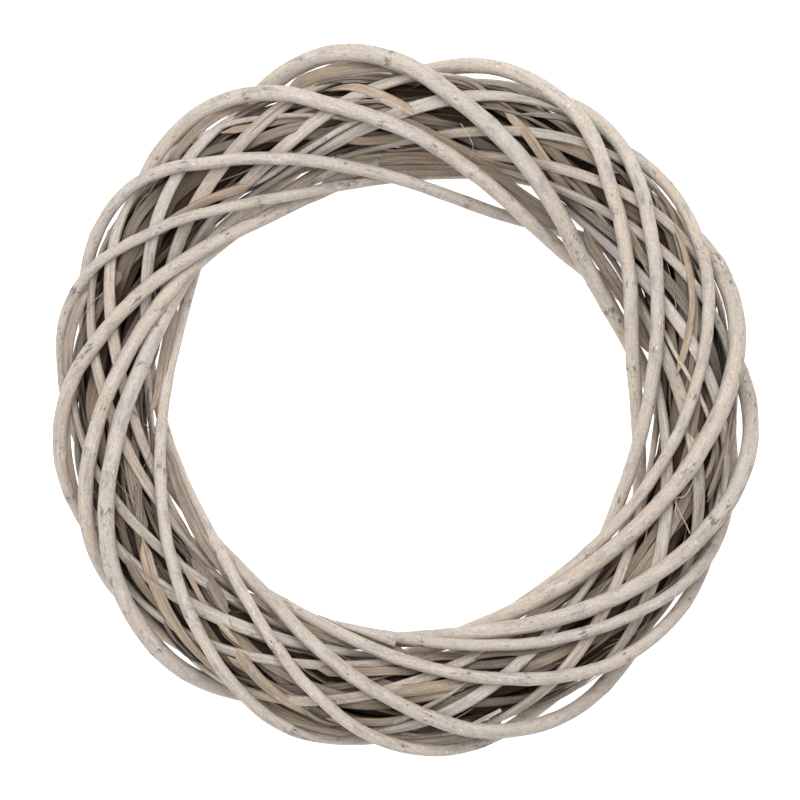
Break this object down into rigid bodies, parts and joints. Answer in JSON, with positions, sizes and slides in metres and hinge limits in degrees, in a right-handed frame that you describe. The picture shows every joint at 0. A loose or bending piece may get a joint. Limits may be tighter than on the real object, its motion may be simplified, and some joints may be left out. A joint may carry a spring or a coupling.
{
  "type": "rattan wreath",
  "caption": "Round open wreath wound from whole and split rattan canes, with a large centre hole, lying flat on its back.",
  "frame": {"origin": "under the middle of the wreath, on the surface that it lies on", "axes": "+Z along the wreath's axis, out of its front; +Y towards the top of the wreath as it is shown"},
  "size_m": [0.348, 0.3508, 0.0595],
  "materials": {
    "whole_cane": "matt greyed rattan bark with pale wash",
    "split_cane": "matt greyed split rattan, straw to brown grey",
    "core_cane": "matt dark brown grey rattan"
  },
  "bodies": {
    "root": {"core_hoop_1": "core_cane", "core_hoop_2": "core_cane", "core_hoop_3": "core_cane", "core_hoop_4": "core_cane", "ring_cane_1": "split_cane", "ring_cane_2": "split_cane", "ring_cane_3": "split_cane", "ring_cane_4": "split_cane", "ring_cane_5": "split_cane", "ring_cane_6": "split_cane", "ring_cane_7": "split_cane", "ring_cane_8": "split_cane", "ring_cane_9": "split_cane", "under_cane_1": "split_cane", "under_cane_2": "split_cane", "under_cane_3": "split_cane", "under_cane_4": "split_cane", "cross_cane_1": "split_cane", "cross_cane_2": "split_cane", "cross_cane_3": "split_cane", "cross_cane_4": "split_cane", "cross_cane_5": "split_cane", "cross_cane_6": "split_cane", "cross_cane_7": "split_cane", "cross_cane_8": "split_cane", "outer_cane_1": "whole_cane", "outer_cane_2": "whole_cane", "outer_cane_3": "whole_cane", "outer_cane_4": "whole_cane", "outer_cane_5": "whole_cane", "outer_cane_6": "whole_cane", "outer_cane_7": "whole_cane"}
  },
  "joints": []
}
